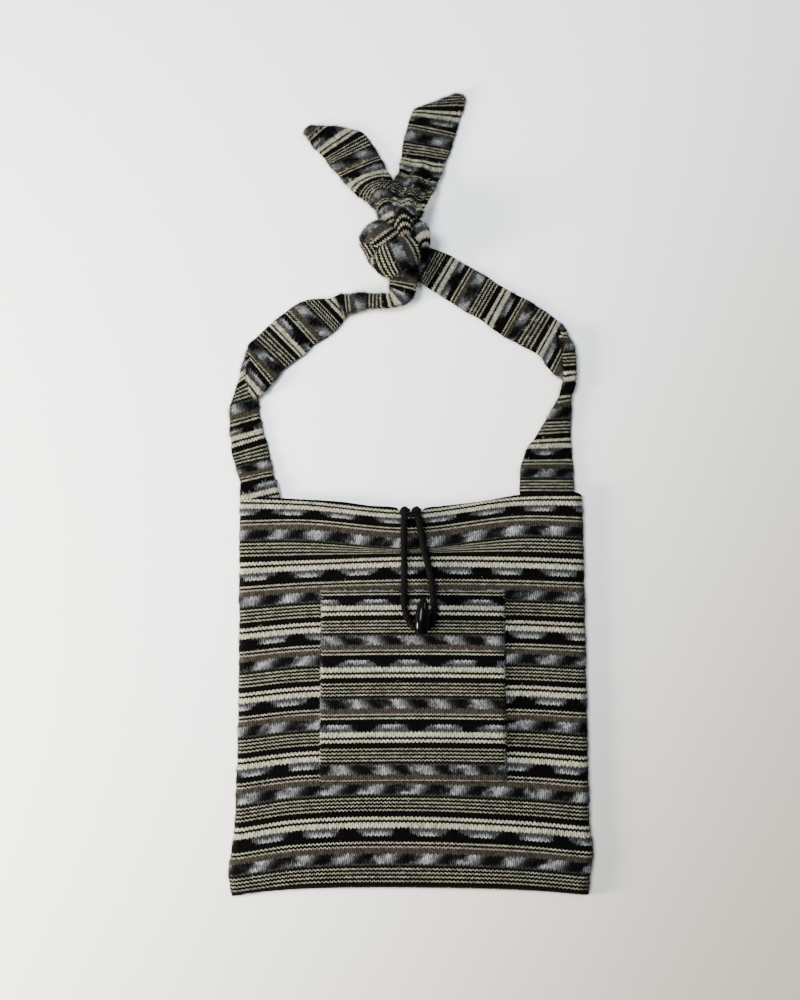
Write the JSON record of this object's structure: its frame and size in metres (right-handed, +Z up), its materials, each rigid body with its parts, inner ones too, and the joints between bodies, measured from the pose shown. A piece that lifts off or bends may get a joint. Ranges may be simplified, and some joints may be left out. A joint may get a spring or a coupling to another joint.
{
  "type": "knit crossbody bag",
  "caption": "Flat square knit bag with an open mouth, patch pocket, cord loop over a long toggle, and straps tied in a knot.",
  "frame": {"origin": "middle of the back panel's underside, on the surface that the bag lies on", "axes": "+Y from the bag's bottom edge to its mouth and straps, +Z up out of the front, +X to the right seen from the front"},
  "size_m": [0.3147, 0.7057, 0.0355],
  "materials": {
    "striped_knit": "matte striped machine knit, brushed in places",
    "braided_cord": "matte black braid",
    "toggle_gloss": "polished black"
  },
  "bodies": {
    "root": {"back_panel": "striped_knit", "front_panel": "striped_knit", "pocket": "striped_knit", "strap_left": "striped_knit", "strap_right": "striped_knit", "strap_knot": "striped_knit", "tail_left": "striped_knit", "tail_right": "striped_knit", "closure_loop": "braided_cord", "toggle": "toggle_gloss", "toggle_shank": "braided_cord"}
  },
  "joints": []
}
